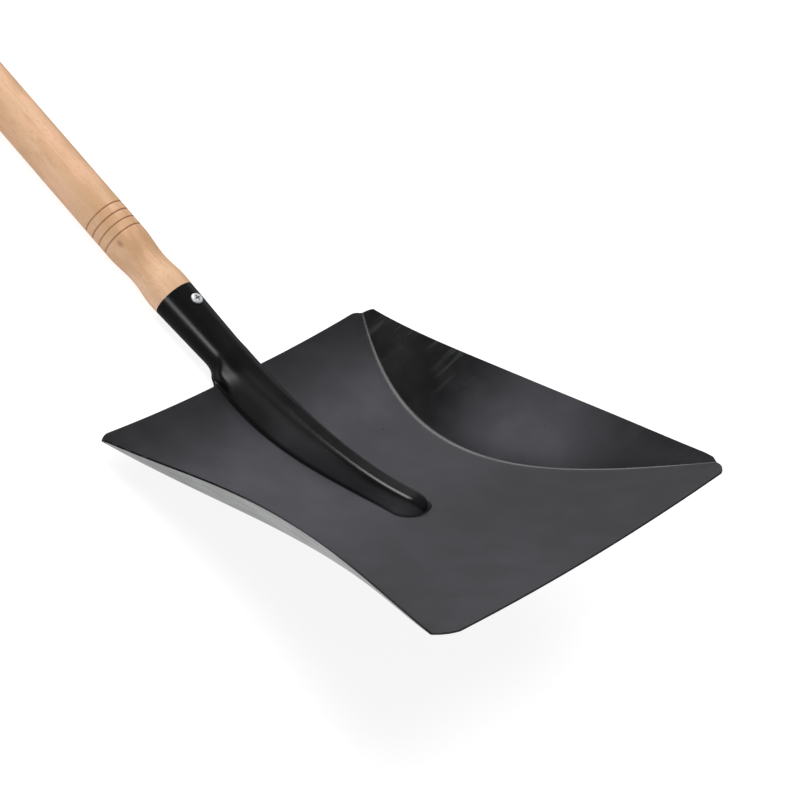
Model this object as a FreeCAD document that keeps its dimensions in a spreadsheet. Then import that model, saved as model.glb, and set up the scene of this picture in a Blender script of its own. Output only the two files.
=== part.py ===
# Pan shovel: one pressed sheet blade with a rolled socket, a turned wooden shaft and a cross-recess screw.
# Lying at rest: the shaft along X on the floor, the blade forward (+X) with its front edge tilted up.
import FreeCAD
import Part
import math
import os
import Sketcher
from FreeCAD import Vector

os.makedirs("parts", exist_ok=True)
doc = FreeCAD.newDocument("pan_shovel")

# ---------------------------------------------------------------- sizes, in millimetres and degrees
SIZES = [
    ("blade_length", 347.8), ("back_width", 324.0), ("front_width", 366.5), ("sheet", 1.5),
    ("back_slope", 0.535), ("front_slope", 0.305), ("back_cup", 6.6), ("front_cup", 7.0),
    ("crease_ratio_back", 0.971), ("crease_ratio_early", 0.562), ("crease_ratio_mid", 0.351),
    ("crease_ratio_late", 0.794), ("crease_ratio_front", 1.016), ("crease_radius", 5.0),
    ("wall_angle_back", 42.6), ("wall_angle_front", 46.1), ("wall_fade", 4.0),
    ("wall_back", 4.5), ("wall_early", 75.8), ("wall_mid", 107.8), ("wall_late", 42.7),
    ("wall_front", -6.0),
    ("back_corner", 16.0), ("front_corner", 19.0),
    ("rib_length", 194.0), ("rib_nose", 13.0), ("rib_crown", 7.5), ("rib_foot", 4.0),
    ("rib_height_early", 33.0), ("rib_height_late", 14.5), ("rib_height_end", 9.5),
    ("rib_half_back", 19.0), ("rib_half_early", 28.5), ("rib_half_late", 5.5), ("rib_half_end", 14.0),
    ("lift", 27.7), ("axis_rise", 8.8), ("socket_length", 73.5), ("socket_open", 15.0),
    ("root_radius", 15.8), ("root_crest", 17.2), ("root_foot", 3.5), ("rim_radius", 17.65),
    ("seam_gap", 1.0), ("notch", 4.0),
    ("shaft_radius", 18.0), ("shaft_length", 1200.0), ("end_round", 9.0),
    ("tenon_short", 3.0), ("tenon_clear", 0.15), ("tenon_edge", 1.5),
    ("collar_length", 12.0), ("collar_radius", 17.9), ("neck_radius", 16.0), ("neck_at", 31.5),
    ("neck_end", 59.5), ("neck_blend", 90.0),
    ("groove_at", 63.0), ("groove_pitch", 8.0), ("groove_half", 1.0), ("groove_depth", 0.7),
    ("screw_at", 16.0), ("screw_seat", 0.75), ("head_radius", 5.0), ("head_height", 2.8),
    ("head_edge", 1.0), ("shank_radius", 2.1), ("screw_length", 20.0), ("screw_tip", 4.0),
    ("tip_radius", 0.3),
    ("recess_half", 0.65), ("recess_reach", 2.7), ("recess_depth", 1.7),
    ("seat_clear", 0.3), ("hole_clear", 0.3), ("pilot_clear", 0.05),
]
sheet_cells = doc.addObject("Spreadsheet::Sheet", "sizes")
for row, (name, value) in enumerate(SIZES, start=1):
    sheet_cells.set("A%d" % row, name)
    sheet_cells.set("B%d" % row, str(value))
    sheet_cells.setAlias("B%d" % row, name)
doc.recompute()


def size(name):
    return float(getattr(sheet_cells, name))


# ---------------------------------------------------------------- curves that shape the pressed sheet
def bezier(t, controls):
    n = len(controls) - 1
    return sum(math.comb(n, k) * t ** k * (1 - t) ** (n - k) * c for k, c in enumerate(controls))


def smooth(t):
    t = min(max(t, 0.0), 1.0)
    return t * t * (3 - 2 * t)


def blend(a, b, t):
    return a + (b - a) * t


LENGTH = size("blade_length")
LIFT = math.radians(size("lift"))


def half_width(x):
    return blend(size("back_width"), size("front_width"), x / LENGTH) / 2


def cup(x):
    return blend(size("back_cup"), size("front_cup"), x / LENGTH)


def floor_level(x):
    u = x / LENGTH
    dip = size("back_slope") * u * (1 - u) ** 2 + size("front_slope") * u * u * (1 - u)
    return -LENGTH * dip - cup(x)


def floor_slope(x):
    return (floor_level(x + 0.5) - floor_level(x - 0.5))


def section_thickness(x):
    return size("sheet") * math.hypot(1.0, floor_slope(x))


def crease_half(x):
    ratios = [size("crease_ratio_" + k) for k in ("back", "early", "mid", "late", "front")]
    return half_width(x) * bezier(x / LENGTH, ratios)


def wall_angle(x):
    return math.radians(blend(size("wall_angle_back"), size("wall_angle_front"), x / LENGTH))


def wall_width(x):
    """Width of the wall above its fold. It fades out softly where the fold meets the edge."""
    wide = bezier(x / LENGTH, [size("wall_" + k) for k in ("back", "early", "mid", "late", "front")])
    return (wide + math.hypot(wide, size("wall_fade"))) / 2


def top_half(x):
    """Half the blade's width at the walls' top edges."""
    fold = size("crease_radius") * math.tan(wall_angle(x) / 2)
    return crease_half(x) + (fold + wall_width(x)) * math.cos(wall_angle(x))


def rib_shape(x):
    """Height, half width, crown radius and foot radius of the rib at x."""
    back_height = size("root_crest") / math.cos(LIFT) + size("axis_rise")
    nose = (size("rib_length") - x) / size("rib_nose")
    t = min(x / size("rib_length"), 1.0)
    height = bezier(t, [back_height] + [size("rib_height_" + k) for k in ("early", "late", "end")])
    t = min(x / (size("rib_length") - size("rib_nose")), 1.0)
    half = bezier(t, [size("rib_half_" + k) for k in ("back", "early", "late", "end")])
    round_off = math.sqrt(1 - (1 - min(max(nose, 0.0), 1.0)) ** 2)
    ease = smooth(x / (0.55 * size("rib_length")))
    crown = blend(size("root_radius"), size("rib_crown"), ease)
    foot = blend(size("root_foot"), size("rib_foot"), ease)
    return height * smooth(nose), half * (0.45 + 0.55 * round_off), crown, foot


def arch_bends(height, half, crown, foot):
    """The half arch as bends: (length along the sheet, curvature), from the crown down to the floor."""
    span = crown + foot
    reach = math.hypot(half, height - span)
    angle = math.atan2(height - span, half) + math.asin(min(span / reach, 1.0))
    flank = math.sqrt(max(reach ** 2 - span ** 2, 0.0))
    return [(crown * angle, 1 / crown), (flank, 0.0), (foot * angle, -1 / foot)]


def arch_points(bends, roll, roll_curvature, length, top, thickness, count=16):
    """Both sides of the arched sheet. roll 0 keeps the bends, 1 bends it evenly into the tube."""
    def angle(v):
        turned, left = 0.0, v
        for reach, bend in bends:
            turned += min(left, reach) * bend
            left = max(left - reach, 0.0)
        return blend(turned, v * roll_curvature, roll)

    steps = 20
    step = length / (count * steps)
    y, z = 0.0, top
    outer, inner = [], []
    for k in range(count * steps + 1):
        if k % steps == 0:
            here = angle(k * step)
            outer.append((y, z))
            inner.append((y - thickness * math.sin(here), z - thickness * math.cos(here)))
        y += step * math.cos(angle((k + 0.5) * step))
        z -= step * math.sin(angle((k + 0.5) * step))
    return [[(-a, b) for a, b in reversed(line[1:])] + line for line in (outer, inner)]


def through(points, places):
    curve = Part.BSplineCurve()
    curve.interpolate(points, Parameters=places)
    return curve


def even(count):
    return [k / (count - 1) for k in range(count)]


def skin(rows, places):
    """A smooth face through rows of points. places says how far along each row lies."""
    across = [through(row, even(len(row))) for row in rows]
    poles = [curve.getPoles() for curve in across]
    along = [through([row[k] for row in poles], places) for k in range(len(poles[0]))]
    surface = Part.BSplineSurface()
    surface.buildFromPolesMultsKnots(
        [[curve.getPole(k + 1) for curve in along] for k in range(along[0].NbPoles)],
        along[0].getMultiplicities(), across[0].getMultiplicities(),
        along[0].getKnots(), across[0].getKnots(), False, False, along[0].Degree, across[0].Degree)
    return surface.toShape()


def sheet_solid(sections, places):
    """The solid whose skin runs through the sections, each a closed chain of point rows."""
    faces = [skin([section[k] for section in sections], places) for k in range(len(sections[0]))]
    for section in (sections[0], sections[-1]):
        faces.append(Part.Face(Part.Wire([through(row, even(len(row))).toShape() for row in section])))
    shell = Part.makeShell(faces)
    shell.sewShape()
    solid = Part.Solid(shell)
    if solid.Volume < 0:
        solid.reverse()
    assert solid.isValid(), "sheet solid"
    return solid


def arch_length(bends):
    return sum(reach for reach, bend in bends)


# ---------------------------------------------------------------- the pan: floor, creases, walls and rib
def pan_section(x):
    """The sheet cut across the blade at x, as a closed chain of point rows."""
    t = section_thickness(x)
    height, half, crown, foot = rib_shape(x)
    bends = arch_bends(height, half, crown, foot)
    level = floor_level(x)
    top, under = arch_points(bends, 0.0, 0.0, arch_length(bends) + size("notch"), level + height, t)
    start = top[-1][0]
    base = top[-1][1]
    crease = crease_half(x)
    rise = cup(x) / (half_width(x) - start) ** 2
    lines = [(top, under)]

    floor, floor_under = [], []
    lean = wall_angle(x)
    end = crease - size("crease_radius") * math.tan(lean / 2)
    for k in range(9):
        y = blend(start, end, k / 8)
        z = base + rise * (y - start) ** 2
        slope = math.atan(2 * rise * (y - start))
        floor.append((y, z))
        floor_under.append((y + t * math.sin(slope), z - t * math.cos(slope)))
    lines.append((floor, floor_under))

    radius = size("crease_radius")
    centre = (y - radius * math.sin(slope), z + radius * math.cos(slope))
    fold, fold_under = [
        [(centre[0] + r * math.sin(a), centre[1] - r * math.cos(a))
         for a in [blend(slope, lean, k / 6) for k in range(7)]] for r in (radius, radius + t)]
    lines.append((fold, fold_under))

    reach = wall_width(x)
    wall = [fold[-1], (fold[-1][0] + reach * math.cos(lean), fold[-1][1] + reach * math.sin(lean))]
    wall_under = [(a + t * math.sin(lean), b - t * math.cos(lean)) for a, b in wall]
    lines.append((wall, wall_under))

    def placed(points):
        return [Vector(x, a, b) for a, b in points]

    def mirrored(points):
        return [Vector(x, -a, b) for a, b in reversed(points)]

    chain = [placed(upper) for upper, lower in lines]
    chain.append(placed([wall[-1], wall_under[-1]]))
    chain += [placed(list(reversed(lower))) for upper, lower in reversed(lines)]
    chain += [list(reversed(mirrored(lower))) for upper, lower in lines[1:]]
    chain.append(mirrored([wall[-1], wall_under[-1]]))
    chain += [mirrored(upper) for upper, lower in reversed(lines[1:])]
    return chain


RIB_STATIONS = (0, 0.09, 0.19, 0.3, 0.42, 0.54, 0.66, 0.76, 0.84, 0.9, 0.935, 0.96, 0.98, 1.0)
FRONT_STATIONS = (0.06, 0.2, 0.38, 0.56, 0.72, 0.87, 1.0)
stations = [size("rib_length") * k for k in RIB_STATIONS]
stations += [blend(size("rib_length"), LENGTH, k) for k in FRONT_STATIONS]
pan = sheet_solid([pan_section(x) for x in stations], [x / LENGTH for x in stations])


# ---------------------------------------------------------------- the socket, rolled up behind the pan
AXIS_LEVEL = floor_level(0) + size("axis_rise")


def socket_section(s):
    """The rolled sheet cut across at the distance s up the shaft's axis, as a closed chain of point rows."""
    opened = min(s / size("socket_open"), 1.0)
    roll = smooth(opened)
    up = max(s - size("socket_open"), 0.0) / (size("socket_length") - size("socket_open"))
    radius = blend(size("root_radius"), size("rim_radius"), up)
    bends = arch_bends(*rib_shape(0))
    corner = max(1 - s / size("notch"), 0.0)
    land = size("notch") * (1 - math.sqrt(1 - corner ** 2))
    closed = math.pi * radius - size("seam_gap") / 2
    length = blend(arch_length(bends), closed, roll ** 2) + land
    thickness = blend(section_thickness(0), size("sheet"), roll)
    tilt = LIFT * roll
    top = blend(size("root_crest"), size("rim_radius"), up) / math.cos(LIFT - tilt)
    outer, inner = arch_points(bends, roll, 1 / radius, length, top, thickness)
    base = Vector(-s * math.cos(LIFT), 0, AXIS_LEVEL + s * math.sin(LIFT))

    def placed(points):
        return [base + Vector(b * math.sin(tilt), a, b * math.cos(tilt)) for a, b in points]

    return [placed(outer), placed([outer[-1], inner[-1]]), placed(list(reversed(inner))),
            placed([inner[0], outer[0]])]


OPEN_STATIONS = (0, 0.05, 0.11, 0.21, 0.34, 0.48, 0.62, 0.76, 0.88, 1.0)
opening = sheet_solid([socket_section(size("socket_open") * k) for k in OPEN_STATIONS], list(OPEN_STATIONS))
tube = sheet_solid([socket_section(size(k)) for k in ("socket_open", "socket_length")], [0, 1])
sheet_metal = pan.fuse([opening, tube])


# ---------------------------------------------------------------- where everything lies
REACH = LENGTH * math.cos(LIFT) + (size("front_cup") + section_thickness(LENGTH)) * math.sin(LIFT)
SHAFT_END = size("socket_open") + size("tenon_short") + size("shaft_length")
SHIFT = (SHAFT_END + AXIS_LEVEL * math.sin(LIFT) - REACH) / 2
AXIS_HEIGHT = max(size("shaft_radius"), size("rim_radius"))
AXIS_START = Vector(SHIFT - AXIS_LEVEL * math.sin(LIFT), 0, AXIS_HEIGHT)
BLADE_PLACE = FreeCAD.Placement(
    Vector(SHIFT, 0, AXIS_HEIGHT - AXIS_LEVEL * math.cos(LIFT)),
    FreeCAD.Rotation(Vector(0, 1, 0), -size("lift")))
SHAFT_PLACE = FreeCAD.Placement(AXIS_START, FreeCAD.Rotation())
SCREW_S = size("socket_length") - size("screw_at")
SCREW_SHARE = (SCREW_S - size("socket_open")) / (size("socket_length") - size("socket_open"))
SEAT_LEVEL = blend(size("root_crest"), size("rim_radius"), SCREW_SHARE) - size("screw_seat")
SCREW_PLACE = FreeCAD.Placement(AXIS_START + Vector(-SCREW_S, 0, SEAT_LEVEL), FreeCAD.Rotation())


# ---------------------------------------------------------------- blade: corners rounded, screw hole and seat
def corner_cutter(x, side):
    """What a rounded corner leaves off, at the back (x = 0) or the front (x = blade length)."""
    inward = 1 if x == 0 else -1
    radius = size("back_corner") if x == 0 else size("front_corner")
    near_edge = Vector(x + inward * radius, side * top_half(x + inward * radius), 0)
    far_edge = Vector(x + 2 * inward * radius, side * top_half(x + 2 * inward * radius), 0)
    corner = near_edge * 2 - far_edge
    along = (far_edge - near_edge).normalize()
    across = Vector(0, -side, 0)
    turn = math.pi - along.getAngle(across)
    run = radius * math.tan(turn / 2)
    start, end = corner + across * run, corner + along * run
    middle_way = (along + across).normalize()
    centre = corner + middle_way * (radius / math.cos(turn / 2))
    arc = Part.Arc(start, centre - middle_way * radius, end).toShape()
    out = corner - middle_way * radius
    away_back = Vector(-inward, 0, 0) * 5
    away_side = Vector(-along.y, along.x, 0) * (5 * side * inward)
    way_round = [end, end + away_side, out + away_side, out + away_back, start + away_back, start]
    edges = [Part.makeLine(a, b) for a, b in zip(way_round, way_round[1:])]
    piece = Part.Face(Part.Wire([arc] + edges))
    piece.translate(Vector(0, 0, -100))
    return piece.extrude(Vector(0, 0, 200))


corners = [corner_cutter(x, side) for x in (0, LENGTH) for side in (1, -1)]
up = Vector(math.sin(LIFT), 0, math.cos(LIFT))
screw_foot = Vector(-SCREW_S * math.cos(LIFT), 0, AXIS_LEVEL + SCREW_S * math.sin(LIFT))
seat = Part.makeCylinder(size("head_radius") + size("seat_clear"), 10, screw_foot + up * SEAT_LEVEL, up)
hole = Part.makeCylinder(size("shank_radius") + size("hole_clear"), 30, screw_foot, up)
blade = doc.addObject("Part::Feature", "blade")
blade.Label = "blade"
blade.Shape = sheet_metal.cut(corners + [seat, hole]).Solids[0]
blade.Placement = BLADE_PLACE


# ---------------------------------------------------------------- help for sketched bodies
def new_body(name, placement):
    body = doc.addObject("PartDesign::Body", name)
    body.Label = name
    body.Placement = placement
    return body


def new_sketch(body, name, plane_role, height=None):
    sketch = body.newObject("Sketcher::SketchObject", name)
    plane = [f for f in body.Origin.OriginFeatures if f.Role == plane_role][0]
    sketch.AttachmentSupport = [(plane, "")]
    sketch.MapMode = "FlatFace"
    if height:
        sketch.setExpression("AttachmentOffset.Base.z", height)
    return sketch


def outline(sketch, corners_at):
    """A closed polygon whose corners are each driven by two expressions."""
    first = sketch.GeometryCount
    values = [tuple(float(sketch.evalExpression(e)) for e in pair) for pair in corners_at]
    count = len(values)
    for k in range(count):
        a, b = values[k], values[(k + 1) % count]
        sketch.addGeometry(Part.LineSegment(Vector(a[0], a[1], 0), Vector(b[0], b[1], 0)), False)
    for k in range(count):
        sketch.addConstraint(Sketcher.Constraint("Coincident", first + k, 2, first + (k + 1) % count, 1))
    for k, pair in enumerate(corners_at):
        for kind, value, text in zip(("DistanceX", "DistanceY"), values[k], pair):
            index = sketch.addConstraint(Sketcher.Constraint(kind, -1, 1, first + k, 1, value))
            sketch.setExpression("Constraints[%d]" % index, text)


def circle(sketch, x, radius):
    """A circle centred on the sketch's horizontal axis."""
    at, wide = sketch.evalExpression(x), sketch.evalExpression(radius)
    index = sketch.addGeometry(Part.Circle(Vector(at, 0, 0), Vector(0, 0, 1), wide), False)
    sketch.addConstraint(Sketcher.Constraint("PointOnObject", index, 3, -1))
    for kind, text in (("DistanceX", x), ("Radius", radius)):
        where = (-1, 1, index, 3) if kind == "DistanceX" else (index,)
        number = sketch.addConstraint(Sketcher.Constraint(kind, *where, sketch.evalExpression(text)))
        sketch.setExpression("Constraints[%d]" % number, text)


def revolve(body, name, sketch, axis):
    turned = body.newObject("PartDesign::Revolution", name)
    turned.Profile = sketch
    turned.ReferenceAxis = (sketch, [axis])
    turned.Angle = 360
    doc.recompute()
    return turned


def round_edges(body, name, base, radius, wanted):
    """Rounds the base's circular edges that wanted(edge) picks out."""
    names = ["Edge%d" % (k + 1) for k, e in enumerate(base.Shape.Edges) if e.isClosed() and wanted(e)]
    assert names, name
    rounded = body.newObject("PartDesign::Fillet", name)
    rounded.Base = (base, names)
    rounded.setExpression("Radius", radius)
    doc.recompute()
    return rounded


def near(a, b):
    return abs(a - b) < 0.01


# ---------------------------------------------------------------- shaft: tenon, neck and four grooves
START = "-(sizes.socket_open + sizes.tenon_short%s)"
END = "-(sizes.socket_open + sizes.tenon_short + sizes.shaft_length)"
# the socket narrows round a straight crest, so the tenon narrows twice as fast as the socket does
NARROWEST = "(2 * sizes.root_radius - sizes.root_crest)"
TAPER = "(sizes.rim_radius - %s) / (sizes.socket_length - sizes.socket_open)" % NARROWEST
TENON = NARROWEST + " + %s * (sizes.tenon_short%s) - sizes.sheet - sizes.tenon_clear"
shaft = new_body("shaft", SHAFT_PLACE)
profile = new_sketch(shaft, "shaft_profile", "XZ_Plane")
outline(profile, [
    (START % "", "0 * sizes.sheet"),
    (START % "", TENON % (TAPER, "") + " - sizes.tenon_edge"),
    (START % " + sizes.tenon_edge", TENON % (TAPER, " + sizes.tenon_edge")),
    ("-sizes.socket_length", "sizes.rim_radius - sizes.sheet - sizes.tenon_clear"),
    ("-sizes.socket_length", "sizes.rim_radius"),
    ("-(sizes.socket_length + sizes.collar_length)", "sizes.collar_radius"),
    ("-(sizes.socket_length + sizes.neck_at)", "sizes.neck_radius"),
    ("-(sizes.socket_length + sizes.neck_end)", "sizes.shaft_radius"),
    (END, "sizes.shaft_radius"),
    (END, "0 * sizes.sheet"),
])
turned = revolve(shaft, "shaft_turned", profile, "H_Axis")
neck_places = [-(size("socket_length") + size(k)) for k in ("collar_length", "neck_at", "neck_end")]
blended = round_edges(shaft, "neck_blends", turned, "sizes.neck_blend",
                      lambda e: any(near(e.CenterOfMass.x, x) for x in neck_places))
ended = round_edges(shaft, "end_rounded", blended, "sizes.end_round",
                    lambda e: near(e.CenterOfMass.x, -SHAFT_END))
cut = new_sketch(shaft, "groove_profile", "XZ_Plane")
GROOVE = "-(sizes.socket_length + sizes.groove_at %s)"
outline(cut, [
    (GROOVE % "- sizes.groove_half", "sizes.shaft_radius + 1"),
    (GROOVE % "- sizes.groove_half", "sizes.shaft_radius"),
    (GROOVE % "", "sizes.shaft_radius - sizes.groove_depth"),
    (GROOVE % "+ sizes.groove_half", "sizes.shaft_radius"),
    (GROOVE % "+ sizes.groove_half", "sizes.shaft_radius + 1"),
])
groove = shaft.newObject("PartDesign::Groove", "groove")
groove.Profile = cut
groove.ReferenceAxis = (cut, ["H_Axis"])
groove.Angle = 360
doc.recompute()
assert groove.Shape.Volume < ended.Shape.Volume - 1, "groove cuts"
grooves = shaft.newObject("PartDesign::LinearPattern", "grooves")
grooves.Originals = [groove]
grooves.Direction = (cut, ["H_Axis"])
grooves.Reversed = True
grooves.Occurrences = 4
grooves.setExpression("Length", "3 * sizes.groove_pitch")
shaft.Tip = grooves
doc.recompute()
assert grooves.Shape.Volume < groove.Shape.Volume - 1, "pattern cuts"
pilot_sketch = new_sketch(shaft, "pilot_circle", "XY_Plane", "%.6f - sizes.screw_length - 0.5" % SEAT_LEVEL)
circle(pilot_sketch, "-(sizes.socket_length - sizes.screw_at)", "sizes.shank_radius + sizes.pilot_clear")
pilot = shaft.newObject("PartDesign::Pocket", "pilot_hole")
pilot.Profile = pilot_sketch
pilot.Type = 1
pilot.Reversed = True
shaft.Tip = pilot
doc.recompute()
assert pilot.Shape.Volume < grooves.Shape.Volume - 1, "pilot hole cuts"


# ---------------------------------------------------------------- screw: pan head with a cross recess, plain shank
screw = new_body("screw", SCREW_PLACE)
screw_profile = new_sketch(screw, "screw_profile", "XZ_Plane")
outline(screw_profile, [
    ("0 * sizes.sheet", "-sizes.screw_length"),
    ("sizes.tip_radius", "-sizes.screw_length"),
    ("sizes.shank_radius", "-(sizes.screw_length - sizes.screw_tip)"),
    ("sizes.shank_radius", "0 * sizes.sheet"),
    ("sizes.head_radius", "0 * sizes.sheet"),
    ("sizes.head_radius", "sizes.head_height"),
    ("0 * sizes.sheet", "sizes.head_height"),
])
screw_turned = revolve(screw, "screw_turned", screw_profile, "V_Axis")
headed = round_edges(screw, "head_rounded", screw_turned, "sizes.head_height - sizes.head_edge",
                     lambda e: near(e.CenterOfMass.z, size("head_height")))
cross = new_sketch(screw, "cross", "XY_Plane", "sizes.head_height")
NARROW, WIDE = "sizes.recess_half", "sizes.recess_reach"
ARMS = [(WIDE, NARROW), (NARROW, NARROW), (NARROW, WIDE)]
outline(cross, ARMS + [("-" + a, b) for a, b in reversed(ARMS)]
        + [("-" + a, "-" + b) for a, b in ARMS] + [(a, "-" + b) for a, b in reversed(ARMS)])
recess = screw.newObject("PartDesign::Pocket", "recess")
recess.Profile = cross
recess.setExpression("Length", "sizes.recess_depth")
screw.Tip = recess
doc.recompute()
assert recess.Shape.Volume < headed.Shape.Volume - 1, "recess cuts"


# ---------------------------------------------------------------- check every object and write the parts
for item in doc.Objects:
    assert not {"Invalid", "Error"} & set(item.State), "%s is %s" % (item.Name, item.State)
for part in (blade, shaft, screw):
    shape = part.Shape
    assert not shape.isNull() and shape.isValid() and len(shape.Solids) == 1, part.Label
    box = shape.BoundBox
    print("%-6s %9.1f mm3  x %8.2f..%8.2f  y %7.2f..%7.2f  z %6.2f..%7.2f" % (
        part.Label, shape.Volume, box.XMin, box.XMax, box.YMin, box.YMax, box.ZMin, box.ZMax))
    shape.exportStep("parts/%s.step" % part.Label)
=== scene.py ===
import bmesh
import bpy
import math
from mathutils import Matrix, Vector


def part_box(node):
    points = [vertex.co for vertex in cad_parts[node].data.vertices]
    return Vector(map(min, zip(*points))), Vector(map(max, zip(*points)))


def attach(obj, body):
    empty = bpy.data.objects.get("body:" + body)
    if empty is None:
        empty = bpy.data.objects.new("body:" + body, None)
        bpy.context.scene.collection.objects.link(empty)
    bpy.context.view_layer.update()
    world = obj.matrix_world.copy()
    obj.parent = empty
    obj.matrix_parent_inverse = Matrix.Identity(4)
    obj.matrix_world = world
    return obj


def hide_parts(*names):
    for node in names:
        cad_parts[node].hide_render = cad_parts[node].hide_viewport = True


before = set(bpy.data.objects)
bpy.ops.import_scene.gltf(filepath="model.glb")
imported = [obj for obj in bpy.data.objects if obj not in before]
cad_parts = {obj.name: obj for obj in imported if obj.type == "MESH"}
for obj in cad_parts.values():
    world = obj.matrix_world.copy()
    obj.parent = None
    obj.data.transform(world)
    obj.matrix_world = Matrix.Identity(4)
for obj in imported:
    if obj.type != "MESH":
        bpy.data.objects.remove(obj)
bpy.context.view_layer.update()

# ---------------------------------------------------------------- blade
# The scoop is one piece of 1.5 mm steel sheet: a dished floor, two side walls folded up along curved
# creases and a hollow rib that runs back into a socket rolled round the shaft. It is pressed in a die,
# its socket is rolled shut underneath, and it is coated satin black all over.

# Sizes are in millimetres: x runs forward from the pan's back edge, and s from there up the shaft's axis.
MM = 0.001
LENGTH, BACK_WIDTH, FRONT_WIDTH, SHEET, FRONT_TRIM = 347.8, 324.0, 366.5, 1.5, 0.8
BACK_SLOPE, FRONT_SLOPE, BACK_CUP, FRONT_CUP = 0.535, 0.305, 6.6, 7.0
CREASE_RATIOS, CREASE_RADIUS = (0.971, 0.562, 0.351, 0.794, 1.016), 5.0
WALL_ANGLES, WALL_WIDTHS, WALL_FADE = (42.6, 46.1), (4.5, 75.8, 107.8, 42.7, -6.0), 4.0
FOLD_RADII, FOLD_TIGHTENS, FOLD_ENDS = (8.5, 4.5, 1.8), (40.0, 220.0), (60.0, 40.0)
EDGE_TRIM, LEAST_WALL, RUN_OUT_FROM, RUN_OUT_OVER, RUN_OUT_BY = 1.1, 0.2, 28.0, 18.0, 1.8
BACK_CORNER, FRONT_CORNER, CORNER_REACH = 16.0, 22.5, 45.0
RIB_LENGTH, RIB_NOSE, NOSE_POWER, RIB_CROWN, RIB_FOOT, RIB_TOP = 194.0, 16.0, 2.4, 5.6, 1.0, 4.2
RIB_HEIGHTS, RIB_HALVES, RIB_EASE, LEAST_SPAN = (29.0, 15.0, 11.0), (19.0, 28.5, 6.5, 17.5), 0.55, 0.01
NOSE_START, LAND_FADE = RIB_LENGTH - RIB_NOSE, 90.0
ARCH_PARTS, FLOOR_PARTS, FOLD_PARTS, WALL_PARTS = (3, 10, 6, 3, 3), 26, 8, 9
LIFT, AXIS_RISE = math.radians(27.7), 8.8
SOCKET_LENGTH, SOCKET_OPEN, SEAM_GAP, NOTCH = 73.5, 15.0, 1.0, 4.0
ROOT_RADIUS, ROOT_CREST, ROOT_FOOT, RIM_RADIUS = 15.8, 17.2, 1.5, 17.65
SWELL, SWELL_AT, SWELL_SPREAD, SWELL_RISES, SWELL_FALLS = 2.5, 15.5, 2.4, (-6.0, 8.0), (2.0, 24.0)
SCREW_AT, SEAT_DEPTH, SEAT_RADIUS, EDGE_DULL = 16.0, 0.75, 5.3, 0.35


def bezier(t, controls):
    """The value at t, 0 to 1, of the smooth curve that these control values pull."""
    n = len(controls) - 1
    return sum(math.comb(n, k) * t ** k * (1 - t) ** (n - k) * c for k, c in enumerate(controls))


def smooth(t):
    t = min(max(t, 0.0), 1.0)
    return t * t * (3 - 2 * t)


def past(x, start, over):
    """0 up to start, 1 from start + over on, and a soft rise between them."""
    return smooth((x - start) / over)


def blend(a, b, t):
    return a + (b - a) * t


def steps(a, b, count):
    """count + 1 even steps from a to b."""
    return [blend(a, b, k / count) for k in range(count + 1)]


def half_width(x):
    return blend(BACK_WIDTH, FRONT_WIDTH, x / LENGTH) / 2


def cup(x):
    """How far the pan's floor is dished at x."""
    return blend(BACK_CUP, FRONT_CUP, x / LENGTH)


def floor_level(x):
    """The height of the floor's middle line at x."""
    u = x / LENGTH
    return -LENGTH * (BACK_SLOPE * u * (1 - u) ** 2 + FRONT_SLOPE * u * u * (1 - u)) - cup(x)


def crease_half(x):
    """Half the distance between the two creases at x."""
    return half_width(x) * bezier(x / LENGTH, CREASE_RATIOS)


def wall_angle(x):
    return math.radians(blend(*WALL_ANGLES, x / LENGTH))


def wall_width(x):
    wide = bezier(x / LENGTH, WALL_WIDTHS)
    return (wide + math.hypot(wide, WALL_FADE)) / 2


def top_half(x):
    """Half the blade's width at its walls' top edges."""
    fold = CREASE_RADIUS * math.tan(wall_angle(x) / 2)
    return crease_half(x) + (fold + wall_width(x)) * math.cos(wall_angle(x))


def rib_bends(x):
    """The rib's height at x, and its half arch as bends: (length along the sheet, curvature)."""
    along = min(x / RIB_LENGTH, 1.0)
    nose = (RIB_LENGTH - x) / RIB_NOSE
    rounded = (1 - (1 - min(max(nose, 0.0), 1.0)) ** NOSE_POWER) ** (1 / NOSE_POWER)
    height = bezier(along, [ROOT_CREST / math.cos(LIFT) + AXIS_RISE, *RIB_HEIGHTS]) * rounded
    half = bezier(min(x / NOSE_START, 1.0), RIB_HALVES) * rounded
    ease = smooth(x / (RIB_EASE * RIB_LENGTH))
    crown, foot = blend(ROOT_RADIUS, RIB_CROWN, ease), blend(ROOT_FOOT, RIB_FOOT, ease)
    crown, foot, top = crown * rounded, foot * rounded, RIB_TOP * ease * rounded
    span = crown + foot
    if span < LEAST_SPAN:
        return height, [(LEAST_SPAN, 0.0)] * 4
    reach = math.hypot(half - top, height - span)
    angle = math.atan2(height - span, half - top) + math.asin(min(span / reach, 1.0))
    flank = math.sqrt(max(reach ** 2 - span ** 2, 0.0))
    return height, [(top, 0.0), (crown * angle, 1 / crown), (flank, 0.0), (foot * angle, -1 / foot)]


def sheet_marks(bends):
    """Where the points lie along the half arch: on its top, crown, flank, foot and the land beside it."""
    marks = [0.0]
    for (reach, bend), count in zip(bends + [(NOTCH, 0.0)], ARCH_PARTS):
        marks += steps(marks[-1], marks[-1] + reach, count)[1:]
    return marks


def arch_line(bends, roll, curvature, marks, top, fine=8):
    """The half arch's line, from its middle out. roll 0 keeps its bends, 1 rolls it into the tube."""
    def angle(v):
        turned, left = 0.0, v
        for reach, bend in bends:
            turned += min(left, reach) * bend
            left = max(left - reach, 0.0)
        return blend(turned, v * curvature, roll)

    y, z, line = 0.0, top, [(0.0, top)]
    for first, second in zip(marks, marks[1:]):
        step = (second - first) / fine
        for k in range(fine):
            y += step * math.cos(angle(first + (k + 0.5) * step))
            z -= step * math.sin(angle(first + (k + 0.5) * step))
        line.append((y, z))
    return line


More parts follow.
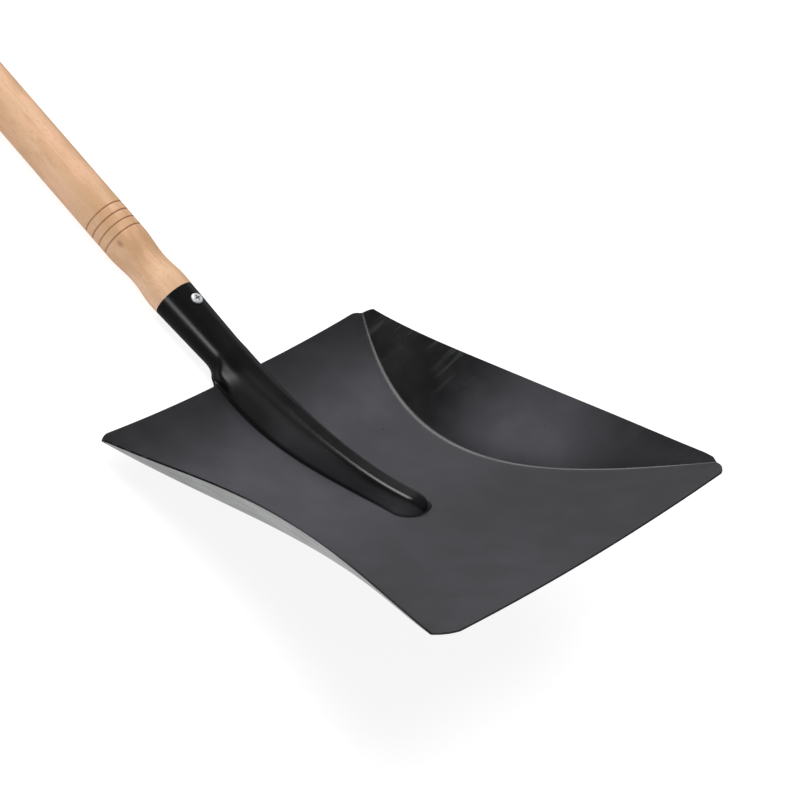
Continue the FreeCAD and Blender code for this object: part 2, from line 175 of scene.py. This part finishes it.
def mirrored(line):
    """The whole line across the blade, from its half that starts in the middle."""
    return [(-y, z) for y, z in reversed(line[1:])] + line


def pan_line(x):
    """The sheet's upper side cut across the pan at x."""
    height, bends = rib_bends(x)
    line = arch_line(bends, 0.0, 0.0, sheet_marks(bends), floor_level(x) + height)
    start, base = line[-1]
    flat = start if x < NOSE_START else (RIB_HALVES[-1] + NOTCH) * (1 - past(x, NOSE_START, LAND_FADE))
    rise = cup(x) / (half_width(x) - flat) ** 2
    lean = wall_angle(x)
    fold = blend(FOLD_RADII[0], FOLD_RADII[1], past(x, *FOLD_TIGHTENS))
    fold = blend(fold, FOLD_RADII[2], smooth((x - LENGTH + FOLD_ENDS[0]) / FOLD_ENDS[1]))
    end = crease_half(x) - fold * math.tan(lean / 2)
    line += [(y, base + rise * max(y - flat, 0.0) ** 2) for y in steps(start, end, FLOOR_PARTS)[1:]]
    slope = math.atan(2 * rise * (end - flat))
    y, z = line[-1]
    y, z = y - fold * math.sin(slope), z + fold * math.cos(slope)
    line += [(y + fold * math.sin(a), z - fold * math.cos(a)) for a in steps(slope, lean, FOLD_PARTS)[1:]]
    y, z = line[-1]
    width = wall_width(x) + (CREASE_RADIUS - fold) * math.tan(lean / 2) - EDGE_TRIM
    width -= RUN_OUT_BY * smooth((x - LENGTH + RUN_OUT_FROM) / RUN_OUT_OVER)
    line += [(y + d * math.cos(lean), z + d * math.sin(lean))
             for d in steps(0, max(width, LEAST_WALL), WALL_PARTS)[1:]]
    return [Vector((x, a, b)) for a, b in mirrored(line)]


def socket_line(s):
    """The rolled sheet's outer side cut across at the distance s up the shaft's axis."""
    roll = smooth(s / SOCKET_OPEN)
    up = max(s - SOCKET_OPEN, 0.0) / (SOCKET_LENGTH - SOCKET_OPEN)
    radius = blend(ROOT_RADIUS, RIM_RADIUS, up)
    bends = rib_bends(0)[1]
    land = NOTCH * (1 - math.sqrt(1 - max(1 - s / NOTCH, 0.0) ** 2))
    closed = math.pi * radius - SEAM_GAP / 2
    length = blend(sum(reach for reach, bend in bends), closed, roll ** 2) + land
    tilt = LIFT * roll
    top = blend(ROOT_CREST, RIM_RADIUS, up) / math.cos(LIFT - tilt)
    base = Vector((-s * math.cos(LIFT), 0, floor_level(0) + AXIS_RISE + s * math.sin(LIFT)))
    marks = sheet_marks(bends)
    marks = [mark * length / marks[-1] for mark in marks]
    line = mirrored(arch_line(bends, roll, 1 / radius, marks, top))
    return [base + Vector((b * math.sin(tilt), a, b * math.cos(tilt))) for a, b in line]


def round_corner(sheet, x, side, cuts=13):
    """Rounds the pan's corner at x by trimming it along the arc's tangents."""
    inward, radius = (1, BACK_CORNER) if x == 0 else (-1, FRONT_CORNER)
    near_edge, far_edge = [
        Vector((x + inward * d, side * top_half(x + inward * d), 0)) for d in (radius, 2 * radius)]
    corner = near_edge * 2 - far_edge
    along, across = (far_edge - near_edge).normalized(), Vector((0, -side, 0))
    turn = math.pi - along.angle(across)
    middle = (along + across).normalized()
    centre = corner + middle * (radius / math.cos(turn / 2))
    for k in range(cuts):
        lean = (k - (cuts - 1) / 2) / cuts * turn * inward * side
        outward = Vector((-middle.x * math.cos(lean) - middle.y * math.sin(lean),
                          middle.x * math.sin(lean) - middle.y * math.cos(lean), 0))
        at_corner = [face for face in sheet.faces
                     if (face.calc_center_median().to_2d() - corner.to_2d()).length < CORNER_REACH]
        pieces = at_corner + [edge for face in at_corner for edge in face.edges]
        pieces += [point for face in at_corner for point in face.verts]
        bmesh.ops.bisect_plane(sheet, geom=list(dict.fromkeys(pieces)), plane_co=centre + outward * radius,
                               plane_no=outward, clear_outer=True)


# Where the sheet's rows of points lie: they are closest near the root, and at the rib's nose.
CLOSE_TO = 30.0
PAN_ROWS = steps(0, CLOSE_TO, 20) + steps(CLOSE_TO, NOSE_START, 60)[1:]
PAN_ROWS += [NOSE_START + RIB_NOSE * math.sin(a) for a in steps(0, math.pi / 2, 24)[1:]]
PAN_ROWS += steps(RIB_LENGTH, LENGTH - FRONT_TRIM, 64)[1:]
SOCKET_ROWS = steps(SOCKET_LENGTH, SOCKET_OPEN, 45) + steps(SOCKET_OPEN, 0, 15)[1:-1]
AXIS_LEVEL = floor_level(0) + AXIS_RISE
REACH = LENGTH * math.cos(LIFT) + (FRONT_CUP + SHEET * math.hypot(1, FRONT_SLOPE)) * math.sin(LIFT)
axis_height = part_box("shaft")[1].z / MM / 2
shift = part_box("blade")[1].x / MM - REACH

# Where the coat's wear, its painted shade and its painted sheen change along x: each pair is where the
# change starts and the length that it takes.
FLOOR_RUBBED, WALL_RUBBED = (-30.0, 90.0), (100.0, 110.0)
FLANK_RUBBED, FLANK_KEPT, FLANK_SHEEN = (6.0, 14.0), (130.0, 40.0), (40.0, 30.0)
SHOULDER_RUBBED, SHOULDER_KEPT = (8.0, 16.0), (80.0, 50.0)
FLOOR_DUSTY, FLOOR_FAR_SHADE, FLOOR_FRONT_SHADE = (5.0, 80.0), (60.0, 40.0), (120.0, 110.0)
WALL_SHEEN, WALL_SHEEN_FADES = (95.0, 105.0), (205.0, 70.0)
# The same, counted in points out from the rib's middle.
FLANK_POINTS, SHOULDER_POINTS = (12, 3), (5, 4)


def marked(line, x):
    """A line's points, each with how rubbed its coat is, its dust together with the shade and sheen painted
    into its colour, and 1 in the rib's foot, whose colour is painted dark as shade. The socket isn't worn,
    and has no x."""
    arch, foot = sum(ARCH_PARTS), sum(ARCH_PARTS[:4])
    middle = len(line) // 2
    points = []
    for k, point in enumerate(line):
        out = abs(k - middle)
        rubbed, dust_and_painted_light, in_foot = 0.0, 0.0, 0.0
        if x is not None and (out > foot or x >= RIB_LENGTH):
            fold_place = (out - arch - FLOOR_PARTS) / FOLD_PARTS
            up_fold = min(max(fold_place, 0.0), 1.0)
            up_wall = max((out - arch - FLOOR_PARTS - FOLD_PARTS) / WALL_PARTS, 0.0)
            # Painted shade in the fold, with real gloss: the coat there is made darker and less rubbed.
            fold_gloss_and_shade = 1 - 0.9 * math.exp(-((fold_place - 0.6) / 0.5) ** 2)
            # Painted shade: the floor is darker towards its far side, and darker again towards its front.
            far_shade = blend(0.10, 0.32, smooth(0.5 + point.y / 120)) * past(x, *FLOOR_FAR_SHADE)
            on_floor = blend(0.3, 1.0, past(x, *FLOOR_DUSTY)) * (1 - far_shade)
            on_floor *= 1 - 0.42 * past(x, *FLOOR_FRONT_SHADE)
            # Painted sheen: the walls are paler from their middle forward, most of all low down, and less
            # so near the front.
            wall_sheen = past(x, *WALL_SHEEN) * (1 - 0.75 * past(x, *WALL_SHEEN_FADES)) * (1.35 - 0.7 * up_wall)
            rubbed_wall = past(x, *WALL_RUBBED) * (1 - 0.4 * up_wall)
            rubbed = blend(past(x, *FLOOR_RUBBED), rubbed_wall, up_fold) * fold_gloss_and_shade
            dust_and_painted_light = blend(on_floor, min(wall_sheen, 1.0), up_fold) * fold_gloss_and_shade
        elif x is not None:
            on_flank = past(out, *FLANK_POINTS) * past(x, *FLANK_RUBBED)
            on_shoulder = past(out, *SHOULDER_POINTS) * past(x, *SHOULDER_RUBBED)
            on_shoulder *= 1 - past(x, *SHOULDER_KEPT)
            rubbed = max(0.95 * on_flank * (1 - 0.7 * past(x, *FLANK_KEPT)), 0.8 * on_shoulder)
            # Painted reflection: the flank is paler forward of its root.
            dust_and_painted_light = 0.42 * on_flank * past(x, *FLANK_SHEEN)
            # The rib's foot is marked so that its colour is painted dark as shade.
            in_foot = float(out >= foot - ARCH_PARTS[3])
        points.append([point, rubbed, dust_and_painted_light, in_foot])
    return points


# The rows nearest to the root are eased into each other, all but the pan's land, and swell at its sides.
EASED_ROWS, EASINGS, HELD, HELD_FADE = 16, 24, 2, 4
rows = [marked(socket_line(s), None) for s in SOCKET_ROWS] + [marked(pan_line(x), x) for x in PAN_ROWS]
join = len(SOCKET_ROWS)
on_arch = sum(ARCH_PARTS)
eased = [row[len(row) // 2 - on_arch:len(row) // 2 + on_arch + 1]
         for row in rows[join - EASED_ROWS:join + EASED_ROWS]]
for _ in range(EASINGS):
    before = [[marks[0].copy() for marks in row] for row in eased]
    for i in range(1, len(eased) - 1):
        for k in range(2 * on_arch + 1):
            free = smooth((on_arch - HELD - abs(k - on_arch)) / HELD_FADE) if i >= EASED_ROWS else 1.0
            eased[i][k][0] += ((before[i - 1][k] + before[i + 1][k]) / 2 - before[i][k]) * 0.5 * free
for row in eased:
    for k, (point, *marks) in enumerate(row):
        up_flank = math.exp(-((abs(k - on_arch) - SWELL_AT) / SWELL_SPREAD) ** 2)
        along = past(point.x, *SWELL_RISES) * (1 - past(point.x, *SWELL_FALLS))
        point.y += math.copysign(SWELL * up_flank * along, point.y)

# The rows are joined into one sheet, its corners are rounded, and points that fall together are merged.
MERGED_WITHIN = 0.02
sheet = bmesh.new()
layers = [sheet.verts.layers.float.new(name) for name in ("rubbed", "dust_and_painted_light", "in_foot")]
for row in rows:
    for k, (point, *marks) in enumerate(row):
        row[k] = sheet.verts.new(point)
        for layer, mark in zip(layers, marks):
            row[k][layer] = mark
for first, second in zip(rows, rows[1:]):
    spare = (len(second) - len(first)) // 2
    second = second[spare:len(second) - spare]
    for k in range(len(first) - 1):
        sheet.faces.new((first[k], second[k], second[k + 1], first[k + 1]))
for x in (0, LENGTH):
    for side in (1, -1):
        round_corner(sheet, x, side)
bmesh.ops.remove_doubles(sheet, verts=sheet.verts, dist=MERGED_WITHIN)
bmesh.ops.recalc_face_normals(sheet, faces=sheet.faces)

# The sheet is tipped up as it lies, and the screw's flat seat is pressed into the socket.
seat_level = blend(ROOT_CREST, RIM_RADIUS, 1 - SCREW_AT / (SOCKET_LENGTH - SOCKET_OPEN)) - SEAT_DEPTH
for v in sheet.verts:
    x, y, z = v.co
    v.co = (x * math.cos(LIFT) - z * math.sin(LIFT) + shift, y,
            x * math.sin(LIFT) + z * math.cos(LIFT) + axis_height - AXIS_LEVEL * math.cos(LIFT))
screw_x = shift - AXIS_LEVEL * math.sin(LIFT) - (SOCKET_LENGTH - SCREW_AT)
for v in sheet.verts:
    if math.hypot(v.co.x - screw_x, v.co.y) < SEAT_RADIUS and v.co.z > axis_height:
        v.co.z = min(v.co.z, axis_height + seat_level)
bmesh.ops.scale(sheet, vec=(MM, MM, MM), verts=sheet.verts)
if sum(face.normal.z * face.calc_area() for face in sheet.faces) < 0:
    bmesh.ops.reverse_faces(sheet, faces=sheet.faces)
for face in sheet.faces:
    face.smooth = True
blade_mesh = bpy.data.meshes.new("pressed_sheet")
sheet.to_mesh(blade_mesh)
blade = bpy.data.objects.new("pressed_blade", blade_mesh)
bpy.context.scene.collection.objects.link(blade)
thickness = blade.modifiers.new("sheet", "SOLIDIFY")
thickness.thickness = SHEET * MM
thickness.offset = -1
thickness.use_even_offset = True
edges = blade.modifiers.new("dulled_edges", "BEVEL")
edges.width = EDGE_DULL * MM
edges.segments = 2
edges.limit_method = "ANGLE"
edges.angle_limit = math.radians(50)
edges.harden_normals = True


class Wire:
    """A shader socket to reckon with like a number: what is reckoned becomes Math nodes."""

    def __init__(self, tree, socket=None):
        self.tree, self.socket = tree, socket

    def node(self, kind, settings=None, sockets=None, give=0):
        """Adds a node: its settings first, then its sockets' values or wires. Gives one output."""
        node = self.tree.nodes.new("ShaderNode" + kind)
        for name, value in (settings or {}).items():
            setattr(node, name, value)
        for name, value in (sockets or {}).items():
            if isinstance(value, Wire):
                self.tree.links.new(value.socket, node.inputs[name])
            else:
                node.inputs[name].default_value = value
        return Wire(self.tree, node.outputs[give]) if node.outputs else None

    def maths(self, operation, a, b):
        return self.node("Math", {"operation": operation}, {0: a, 1: b})

    def __add__(self, other):
        return self.maths("ADD", self, other)

    def __sub__(self, other):
        return self.maths("SUBTRACT", self, other)

    def __rsub__(self, other):
        return self.maths("SUBTRACT", other, self)

    def __mul__(self, other):
        return self.maths("MULTIPLY", self, other)

    __radd__, __rmul__ = __add__, __mul__

    def between(self, low, high):
        """0 below low, 1 above high, and a soft step from one to the other."""
        return self.node("MapRange", {"interpolation_type": "SMOOTHSTEP"},
                         {"Value": self, "From Min": low, "From Max": high})

    def mix(self, a, b):
        """Colour a where this is 0, colour b where it is 1."""
        return self.node("Mix", {"data_type": "RGBA"}, {0: self, 6: a, 7: b}, give=2)

    def stretched(self, x, y, z):
        return self.node("VectorMath", {"operation": "MULTIPLY"}, {0: self, 1: (x, y, z)})

    def noise(self, scale, detail=3.0, roughness=0.5):
        return self.node("TexNoise", {}, {"Vector": self, "Scale": scale, "Detail": detail,
                                          "Roughness": roughness})


def new_finish(name):
    """A new material, and a wire to start its nodes from."""
    material = bpy.data.materials.new(name)
    material.use_nodes = True
    material.node_tree.nodes.clear()
    return material, Wire(material.node_tree)


# Glossy black where it is little used, and rubbed to a dusty grey on the sheet's upper side. The same grey
# mask also holds painted shade, darker on the pan's far side, at its front and in the folds, and painted
# sheen, paler on the walls and the rib's flank; the rib's foot is painted near black as shade. HIGH_UP is
# the square of the
# distance from the middle, in metres: pale painted reflection streaks show only near the walls' tops.
GLOSSY = (0.003, 0.003, 0.0033, 1), (0.006, 0.006, 0.0063, 1)
DUSTY = (0.048, 0.047, 0.055, 1), (0.059, 0.0575, 0.068, 1)
SPECK, FOOT_SHADE, PAINTED_STREAK = (0.008, 0.008, 0.008, 1), (0.003, 0.003, 0.003, 1), (0.035, 0.037, 0.038, 1)
HIGH_UP = (0.0121, 0.0215)

coating, start = new_finish("satin_black_coating")
place = start.node("TexCoord", give="Object")
upright = start.node("SeparateXYZ", {}, {"Vector": start.node("TexCoord", give="Normal")}, give=2)
above = upright.between(-0.1, 0.1)
rubbed = start.node("Attribute", {"attribute_name": "rubbed"}, give="Fac") * above
dust_and_painted_light = start.node("Attribute", {"attribute_name": "dust_and_painted_light"}, give="Fac") * above
in_foot = start.node("Attribute", {"attribute_name": "in_foot"}, give="Fac") * above
across = start.node("SeparateXYZ", {}, {"Vector": place}, give=1)
clouds = place.noise(9.0, 2.0)
peel = place.noise(900.0, 2.0)
patches = place.noise(38.0, 3.0).between(0.35, 0.7)
glossy = (0.5 * patches).mix(*GLOSSY)
matt = patches.mix(*DUSTY)
specks = place.noise(330.0, 2.0).between(0.70, 0.74) * place.noise(30.0, 1.0).between(0.5, 0.6)
matt = (0.6 * specks).mix(matt, SPECK)
# Painted shade: the rib's foot is darkened to near black.
coat = in_foot.mix(dust_and_painted_light.mix(glossy, matt), FOOT_SHADE)
brushed = place.stretched(5, 70, 70).noise(1.0, 2.0)
# Painted reflection: pale streaks along the walls' tops.
reflection_streaks = place.stretched(170, 16, 16).noise(1.0, 2.0).between(0.52, 0.66)
reflection_streaks = reflection_streaks * (across * across).between(*HIGH_UP)
coat = (0.5 * reflection_streaks * (1 - rubbed)).mix(coat, PAINTED_STREAK)
roughness = (0.24 + 0.39 * rubbed + 0.16 * (brushed - 0.5) * (1 - rubbed) + 0.45 * in_foot
             + 0.08 * (clouds - 0.5) + 0.04 * patches)
surface = start.node("BsdfPrincipled", {}, {
    "Base Color": coat, "Roughness": roughness, "IOR": 1.38,
    "Normal": start.node("Bump", {}, {"Strength": 0.04, "Distance": 0.0002, "Height": peel})})
start.node("OutputMaterial", {}, {"Surface": surface})
blade_mesh.materials.append(coating)
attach(blade, "root")
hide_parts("blade")

# ---------------------------------------------------------------- shaft
# A turned hardwood handle: a tenon in the socket, a neck behind the socket's rim, four shallow grooves and
# then a straight round handle with a rounded end. It is sanded and lacquered clear.
SHAFT_RADIUS, SHAFT_LENGTH, END_ROUND, TURNS = 18.0, 1200.0, 9.0, 96
TENON_START, TENON_CLEAR, TENON_CHAMFER = SOCKET_OPEN + 3.0, 0.15, 1.5
COLLAR_RISE, COLLAR_END, COLLAR_RADIUS = 5.0, 8.0, 17.9
NECK_AT, NECK_RADIUS, NECK_END = 31.5, 16.0, 59.5
GROOVES, GROOVE_AT, GROOVE_PITCH, GROOVE_HALF, GROOVE_DEPTH, GROOVE_MARKED_PART = 4, 63.0, 8.0, 1.0, 0.7, 0.65
KNOT_AT, KNOT_OUT, KNOT_TURN, KNOT_SHORT, PALE_END, PALE_FROM = 56.5, 17.0, 1.05, 0.6, 0.01, 0.045


def shaft_radius(s):
    """The wood's radius at the distance s up the axis, behind the rim."""
    behind = s - SOCKET_LENGTH
    if behind < NECK_AT:
        radius = blend(COLLAR_RADIUS, NECK_RADIUS, past(behind, COLLAR_END, NECK_AT - COLLAR_END))
        radius = min(radius, blend(RIM_RADIUS, COLLAR_RADIUS, smooth(behind / COLLAR_RISE)))
    else:
        radius = blend(NECK_RADIUS, SHAFT_RADIUS, past(behind, NECK_AT, NECK_END - NECK_AT))
    for k in range(GROOVES):
        off = abs(behind - GROOVE_AT - k * GROOVE_PITCH) / GROOVE_HALF
        if off < 1:
            radius -= GROOVE_DEPTH * math.cos(off * math.pi / 2) ** 2
    return radius


def lathe(name, outline, turns, place):
    """A closed turned mesh from an outline of (distance along, radius). place puts a point in the frame."""
    turned = bmesh.new()
    rings = [[turned.verts.new(place(s, r, 2 * math.pi * k / turns)) for k in range(turns)]
             for s, r in outline]
    for first, second in zip(rings, rings[1:]):
        for k in range(turns):
            turned.faces.new((first[k], first[k - 1], second[k - 1], second[k]))
    turned.faces.new(rings[0])
    turned.faces.new(list(reversed(rings[-1])))
    bmesh.ops.recalc_face_normals(turned, faces=turned.faces)
    for face in turned.faces:
        face.smooth = len(face.verts) == 4
    mesh = bpy.data.meshes.new(name)
    turned.to_mesh(mesh)
    piece = bpy.data.objects.new(name, mesh)
    bpy.context.scene.collection.objects.link(piece)
    return piece


axis_x = shift - AXIS_LEVEL * math.sin(LIFT)
shaft_end = TENON_START + SHAFT_LENGTH
grooves_end = SOCKET_LENGTH + GROOVE_AT + (GROOVES - 1) * GROOVE_PITCH + GROOVE_HALF
tenon_radius = RIM_RADIUS - SHEET - TENON_CLEAR
narrow = 2 * ROOT_RADIUS - ROOT_CREST - SHEET - TENON_CLEAR
wood_outline = [(TENON_START, narrow - TENON_CHAMFER), (TENON_START + TENON_CHAMFER, narrow)]
wood_outline += [(SOCKET_LENGTH, tenon_radius)]
wood_outline += [(s, shaft_radius(s)) for s in steps(SOCKET_LENGTH, grooves_end + 1, 360)]
wood_outline += [(s, SHAFT_RADIUS) for s in steps(grooves_end + 20, shaft_end - END_ROUND, 24)]
wood_outline += [
    (shaft_end - END_ROUND + END_ROUND * math.sin(a), SHAFT_RADIUS - END_ROUND * (1 - math.cos(a)))
    for a in steps(0, math.pi / 2, 10)[1:]]
shaft = lathe("turned_shaft", wood_outline, TURNS, lambda s, r, a: (
    (axis_x - s) * MM, r * math.sin(a) * MM, (axis_height + r * math.cos(a)) * MM))

groove_layer = shaft.data.attributes.new("in_groove", "FLOAT", "POINT")
for v in shaft.data.vertices:
    behind = axis_x - v.co.x / MM - SOCKET_LENGTH - GROOVE_AT
    off = min(abs(behind - k * GROOVE_PITCH) for k in range(GROOVES))
    groove_layer.data[v.index].value = float(off < GROOVE_MARKED_PART * GROOVE_HALF)
knot = Vector(((axis_x - SOCKET_LENGTH - KNOT_AT) * MM * KNOT_SHORT, -KNOT_OUT * math.sin(KNOT_TURN) * MM,
               (axis_height + KNOT_OUT * math.cos(KNOT_TURN)) * MM))
wood_rim = (axis_x - SOCKET_LENGTH) * MM

# Pale lacquered wood, paler still near the rim, with browner streaks, grain and flecks, a knot and
# darker grooves.
PALE = (0.50, 0.30, 0.165, 1), (0.66, 0.42, 0.265, 1)
BLOTCH, SHADE, RIM_PALE = (0.70, 0.41, 0.27, 1), (0.46, 0.26, 0.135, 1), (0.76, 0.51, 0.34, 1)
STREAK, GRAIN, FLECK = (0.54, 0.30, 0.155, 1), (0.44, 0.23, 0.11, 1), (0.33, 0.16, 0.07, 1)
KNOT, GROOVE_BROWN = (0.24, 0.115, 0.05, 1), (0.26, 0.115, 0.045, 1)

wood, start = new_finish("lacquered_wood")
place = start.node("TexCoord", give="Object")
broad = place.stretched(4, 34, 34).noise(1.0, 2.0)
grain = place.stretched(12, 260, 260).noise(1.0, 4.0, 0.6)
fleck = place.stretched(230, 1500, 1500).noise(1.0, 1.0).between(0.64, 0.72)
streaks = place.stretched(9, 90, 90).noise(1.0, 3.0).between(0.42, 0.62)
pale = broad.between(0.36, 0.64).mix(*PALE)
blotches = place.stretched(26, 95, 95).noise(1.0, 2.0).between(0.5, 0.66)
pale = (0.6 * blotches).mix(pale, BLOTCH)
shaded = place.stretched(22, 60, 60).noise(1.3, 2.0).between(0.48, 0.66)
pale = (0.4 * shaded).mix(pale, SHADE)
along = start.node("SeparateXYZ", {}, {"Vector": place})
toward_rim = along.between(wood_rim - PALE_FROM, wood_rim - PALE_END)
pale = (0.5 * toward_rim).mix(pale, RIM_PALE)
pale = (0.4 * streaks).mix(pale, STREAK)
figured = (0.4 * grain.between(0.45, 0.75)).mix(pale, GRAIN)
flecked = (0.45 * fleck).mix(figured, FLECK)
off_knot = start.node("VectorMath", {"operation": "DISTANCE"},
                      {0: place.stretched(KNOT_SHORT, 1, 1), 1: knot}, give=1)
knotted = (0.75 - 0.75 * off_knot.between(0.0006, 0.0032)).mix(flecked, KNOT)
in_groove = start.node("Attribute", {"attribute_name": "in_groove"}, give="Fac")
grooved = (0.62 * in_groove).mix(knotted, GROOVE_BROWN)
surface = start.node("BsdfPrincipled", {}, {
    "Base Color": grooved, "Roughness": 0.48 + 0.12 * grain, "IOR": 1.45, "Coat Weight": 0.08,
    "Coat Roughness": 0.2,
    "Normal": start.node("Bump", {}, {"Strength": 0.12, "Distance": 0.0003, "Height": grain})})
start.node("OutputMaterial", {}, {"Surface": surface})
shaft.data.materials.append(wood)
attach(shaft, "root")
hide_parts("shaft")

# ---------------------------------------------------------------- screw
# A pan-head wood screw with a cross recess, in bright zinc-plated steel. It is driven through the socket
# into the shaft, and the cross recess is painted dark as shade, between these two depths in metres.
CROSS_DEEP, CROSS_SHALLOW = 0.0016, 0.0009
ZINC, RECESS_SHADE = ((0.74, 0.75, 0.77, 1), (0.92, 0.93, 0.95, 1)), (0.05, 0.05, 0.05, 1)

zinc, start = new_finish("bright_zinc")
place = start.node("TexCoord", give="Object")
stain = place.noise(420.0, 2.0)
level = start.node("SeparateXYZ", {}, {"Vector": place}, give=2)
head_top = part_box("screw")[1].z
# Painted shade: the cross recess is darkened below the head's top.
recess_shade = 0.9 - 0.9 * level.between(head_top - CROSS_DEEP, head_top - CROSS_SHALLOW)
surface = start.node("BsdfPrincipled", {}, {
    "Base Color": recess_shade.mix(stain.mix(*ZINC), RECESS_SHADE), "Metallic": 0.55, "Roughness": 0.3 + 0.15 * stain})
start.node("OutputMaterial", {}, {"Surface": surface})
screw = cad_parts["screw"]
screw.data.materials.clear()
screw.data.materials.append(zinc)

# ---------------------------------------------------------------- studio
# A plain pale floor that gives a little light of its own, soft lights round it, and the camera. The floor
# and the overhead light don't show in the gloss. Places are in metres.
FLOOR_HALF = 12
FLOOR_GREY = (0.24, 0.24, 0.24, 1), (0.26, 0.26, 0.26, 1)

floor_mesh = bpy.data.meshes.new("floor")
floor_corners = [(a * FLOOR_HALF, b * FLOOR_HALF, 0) for a, b in ((-1, -1), (1, -1), (1, 1), (-1, 1))]
floor_mesh.from_pydata(floor_corners, [], [(0, 1, 2, 3)])
floor = bpy.data.objects.new("floor", floor_mesh)
bpy.context.scene.collection.objects.link(floor)
pale_floor, start = new_finish("pale_floor")
place = start.node("TexCoord", give="Object")
surface = start.node("BsdfPrincipled", {}, {
    "Base Color": place.noise(2.0).mix(*FLOOR_GREY), "Roughness": 0.9,
    "Emission Color": (1, 1, 1, 1), "Emission Strength": 0.88})
start.node("OutputMaterial", {}, {"Surface": surface})
floor_mesh.materials.append(pale_floor)
floor.visible_glossy = False

world = bpy.data.worlds.new("studio")
world.use_nodes = True
world.node_tree.nodes["Background"].inputs["Color"].default_value = (0.9, 0.92, 0.95, 1)
world.node_tree.nodes["Background"].inputs["Strength"].default_value = 0.18
bpy.context.scene.world = world
bpy.context.scene.view_settings.view_transform = "Standard"


def soft_light(name, at, aim, wide, high, watts):
    """A soft oblong light that faces its aim."""
    light = bpy.data.lights.new(name, "AREA")
    light.shape, light.size, light.size_y, light.energy = "RECTANGLE", wide, high, watts
    lamp = bpy.data.objects.new(name, light)
    lamp.location = at
    lamp.rotation_euler = (Vector(aim) - Vector(at)).to_track_quat("-Z", "Y").to_euler()
    lamp.visible_camera = False
    bpy.context.scene.collection.objects.link(lamp)
    return lamp


scoop = (0.55, 0, 0.05)
overhead = soft_light("overhead", (0.2, -0.5, 3.0), scoop, 1.6, 1.6, 62)
overhead.visible_glossy = False
soft_light("behind", (-1.1, 2.9, 0.9), scoop, 3.4, 1.4, 3)
soft_light("left_window", (-1.8, 0.65, 1.65), scoop, 1.8, 1.5, 60)
soft_light("left_low", (-2.4, -0.3, 0.3), scoop, 1.4, 0.5, 7)
soft_light("near_strip", (0.1, -2.8, 0.55), (0.4, 0, 0.02), 0.9, 0.8, 20)
soft_light("under_glow", (0.64, -0.06, 0.003), (0.64, -0.06, 1), 0.36, 0.3, 0.26)

camera = bpy.data.objects.new("camera", bpy.data.cameras.new("camera"))
camera.location = (1.19906, -2.02257, 1.97475)
camera.rotation_euler = [math.radians(a) for a in (42.304, -27.191, 43.806)]
camera.data.lens = 169.6
camera.data.clip_end = 100
bpy.context.scene.collection.objects.link(camera)
bpy.context.scene.camera = camera
